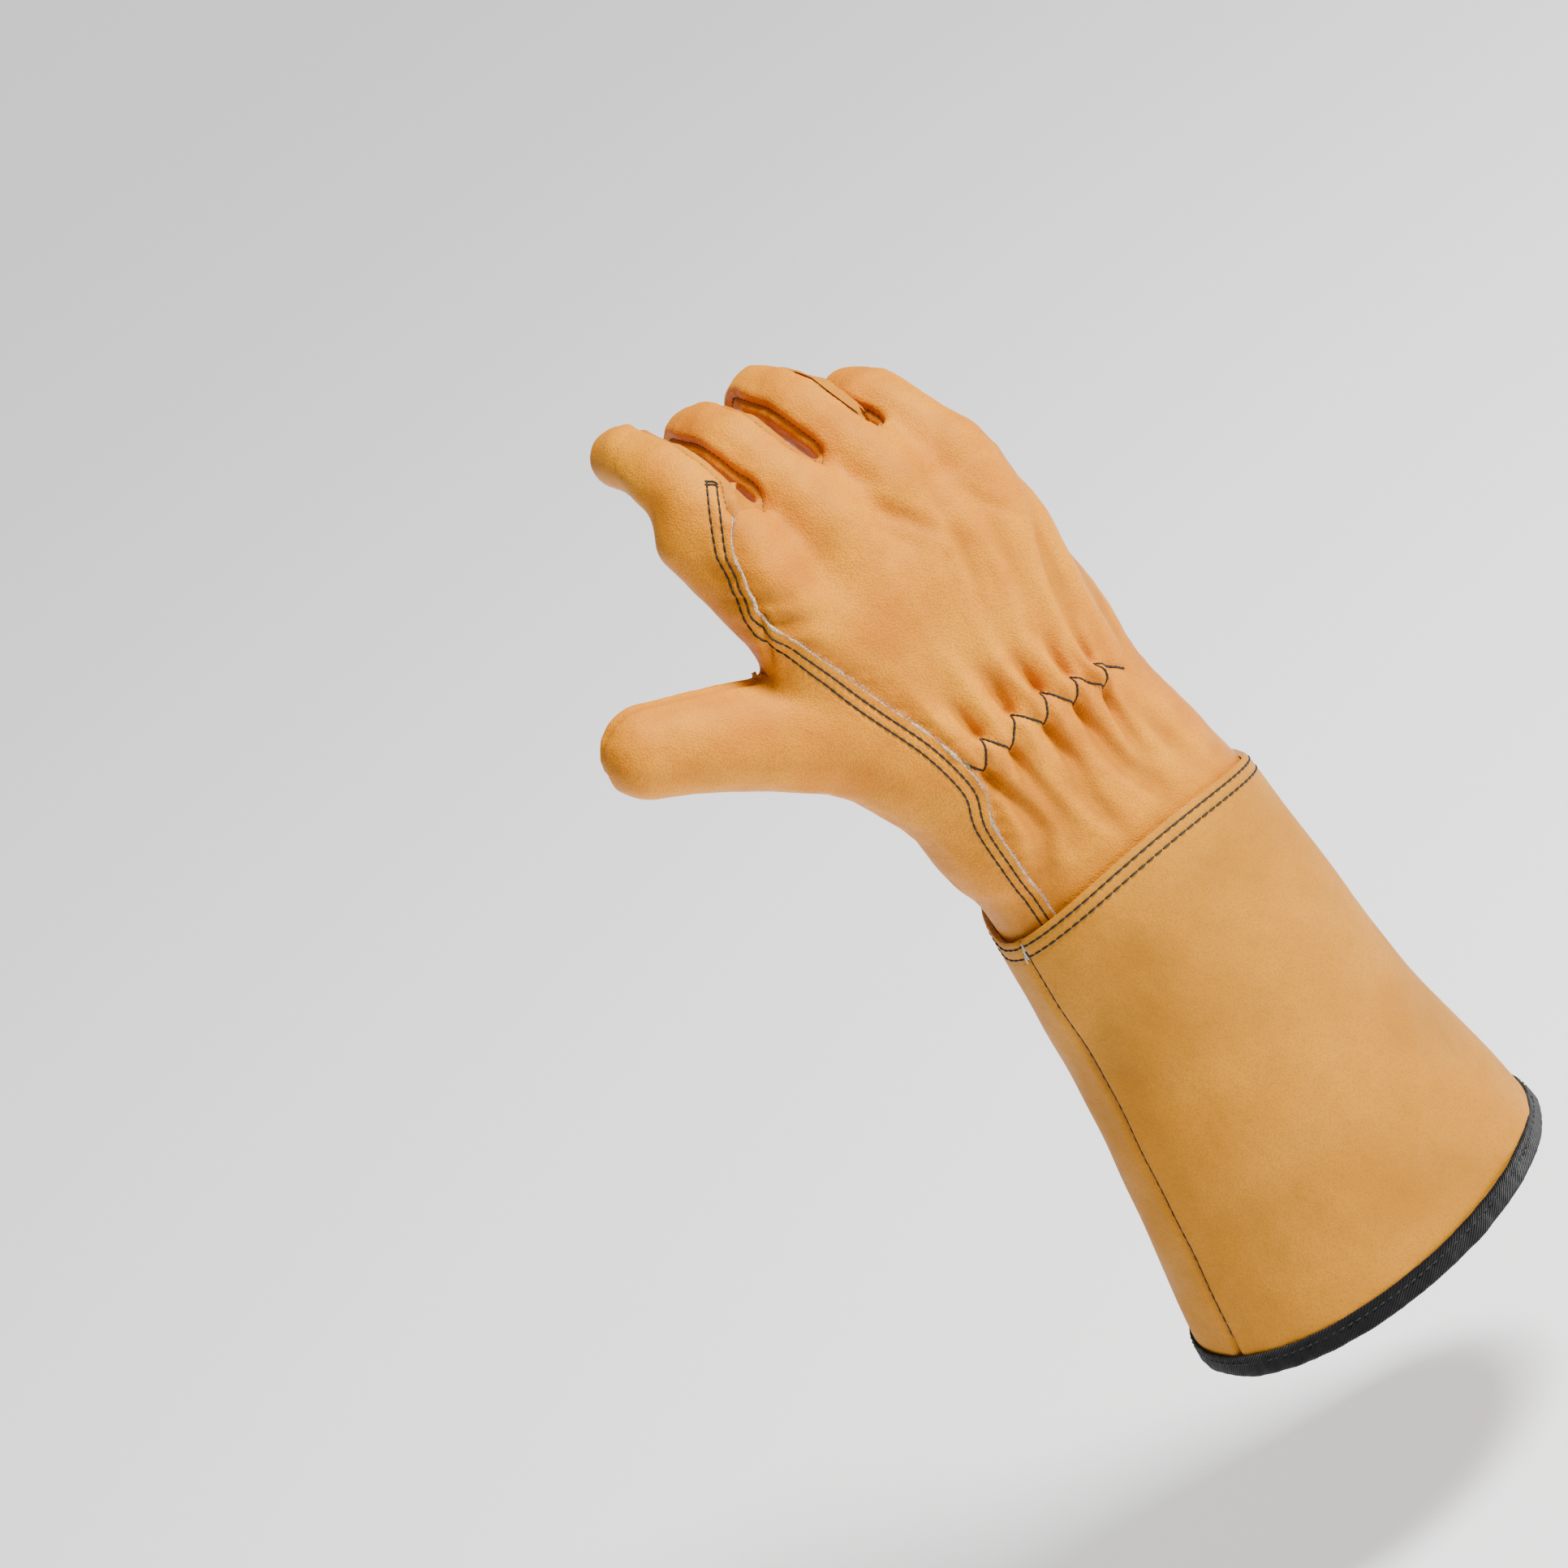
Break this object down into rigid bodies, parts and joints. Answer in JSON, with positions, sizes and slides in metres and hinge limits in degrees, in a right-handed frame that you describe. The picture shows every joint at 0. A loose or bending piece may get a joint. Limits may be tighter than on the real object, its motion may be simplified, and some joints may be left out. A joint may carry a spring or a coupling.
{
  "type": "rose pruning gauntlet glove",
  "caption": "Right-hand grain leather gardening glove with shaped fingers, elasticated wrist and a long flared leather cuff with a bound edge, for pruning thorny shrubs",
  "frame": {"origin": "middle of the wrist opening, where a wrist or a stand holds the glove up", "axes": "+Z along the forearm from the cuff to the fingers, -Y out of the back of the hand, -X to the thumb side"},
  "size_m": [0.2035, 0.1352, 0.3826],
  "materials": {
    "hand_leather": "golden tan grain leather, soft satin",
    "cuff_leather": "lighter tan smooth split leather, matt",
    "binding": "black woven tape, matt"
  },
  "bodies": {
    "root": {"back_panel": "hand_leather", "palm_panel": "hand_leather", "thumb_panel": "hand_leather", "fourchette_index_middle": "hand_leather", "fourchette_middle_ring": "hand_leather", "fourchette_ring_little": "hand_leather", "cuff_back": "cuff_leather", "cuff_palm": "cuff_leather", "cuff_binding": "binding"}
  },
  "joints": []
}
